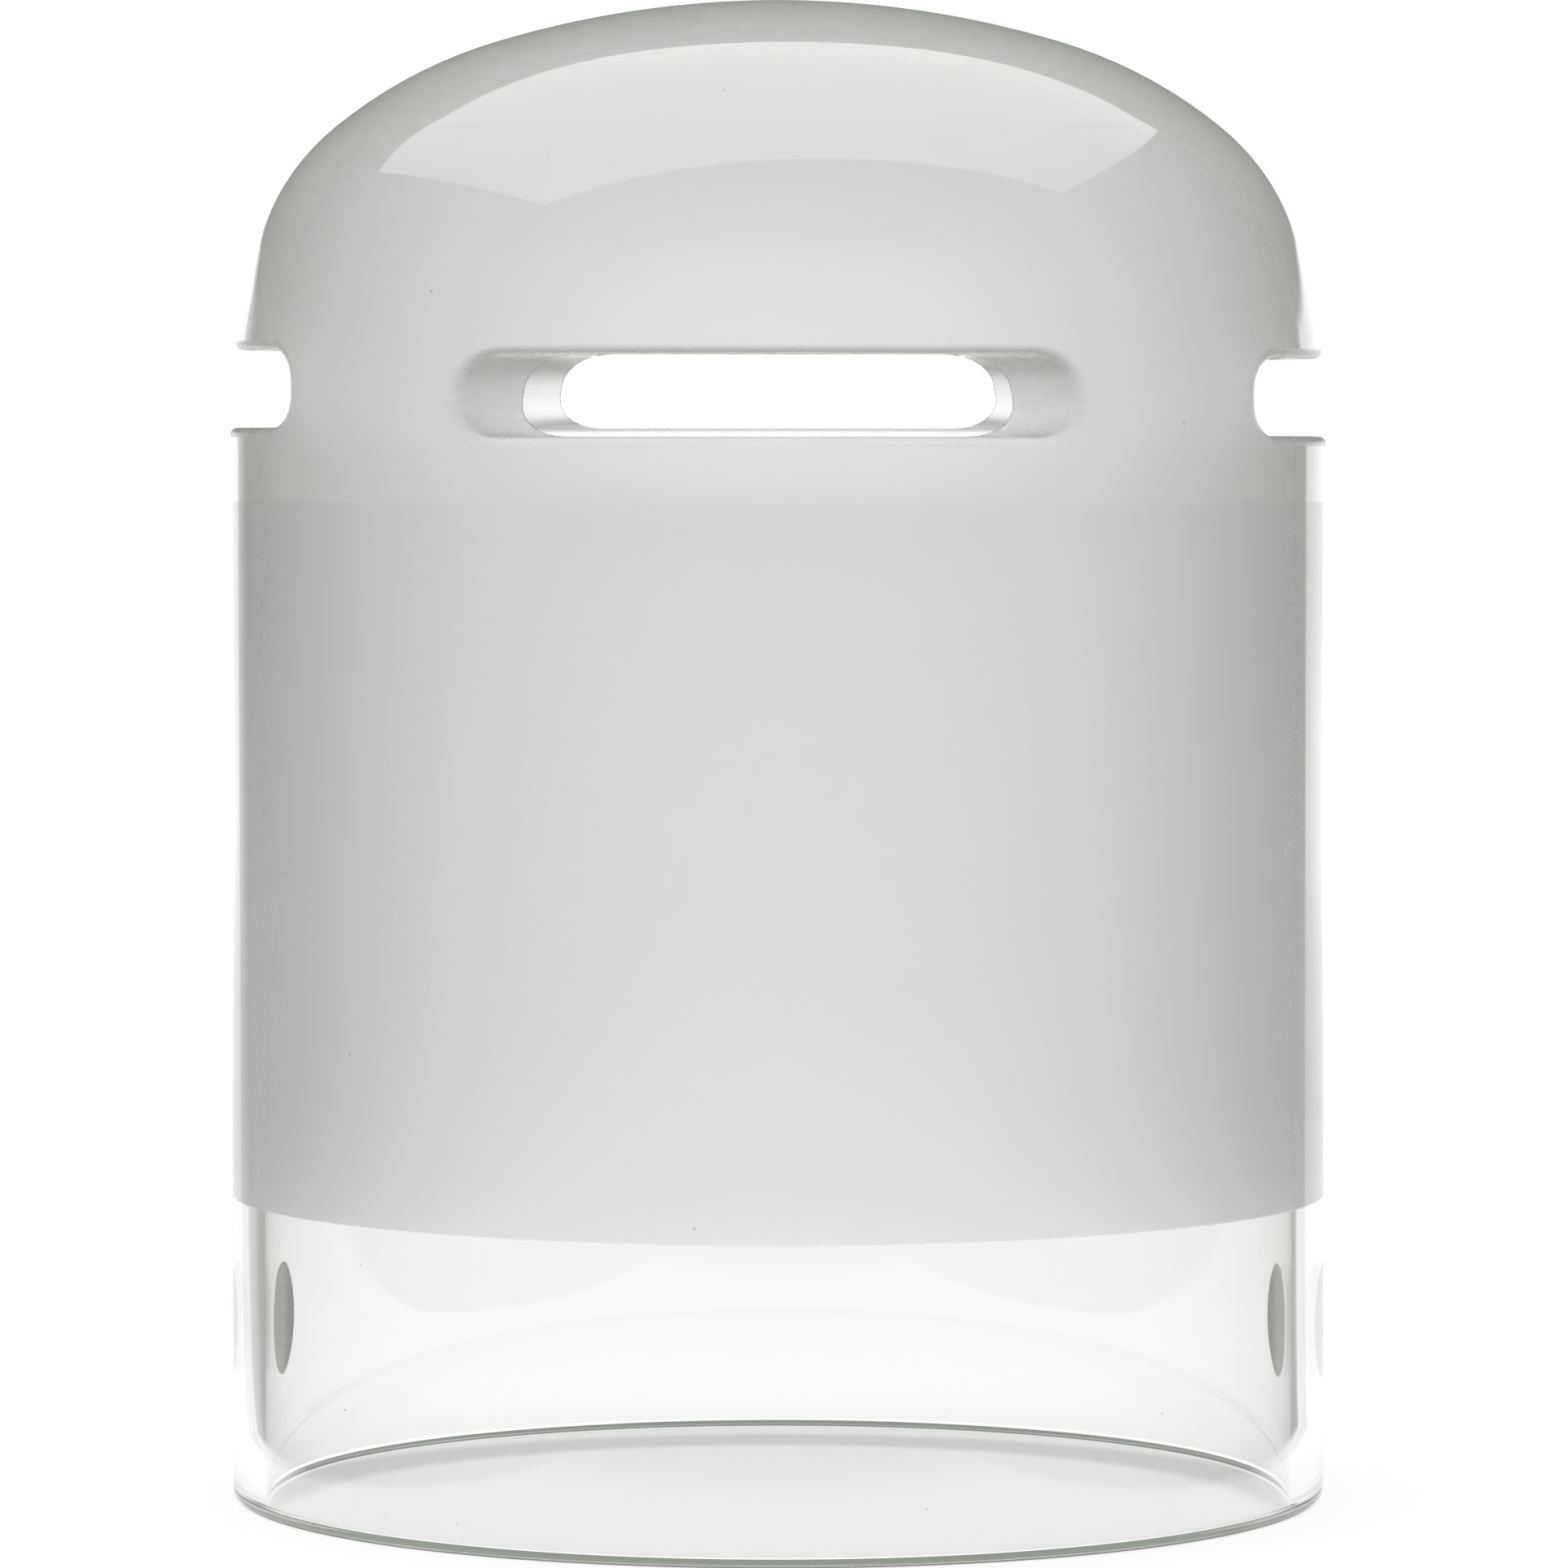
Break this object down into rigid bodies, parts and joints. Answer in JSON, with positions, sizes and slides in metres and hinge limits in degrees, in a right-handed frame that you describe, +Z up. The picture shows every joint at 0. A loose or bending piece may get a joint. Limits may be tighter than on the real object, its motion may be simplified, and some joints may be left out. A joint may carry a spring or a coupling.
{
  "type": "flash head glass dome",
  "caption": "Frosted protective glass dome for a studio flash head: closed crown, straight tube, vent grooves across the shoulder, clear open mouth.",
  "frame": {"origin": "centre of the mouth plane, which the dome stands on", "axes": "+Z up the axis of the tube to the crown, -Y out through the front vent groove"},
  "size_m": [0.075, 0.075, 0.1023],
  "materials": {
    "clear_glass": "polished outside, ground at the grooves, dimples and mouth",
    "frost": "fine white diffusing frost"
  },
  "bodies": {
    "root": {"glass_envelope": "clear_glass", "frost_coat": "frost"}
  },
  "joints": []
}
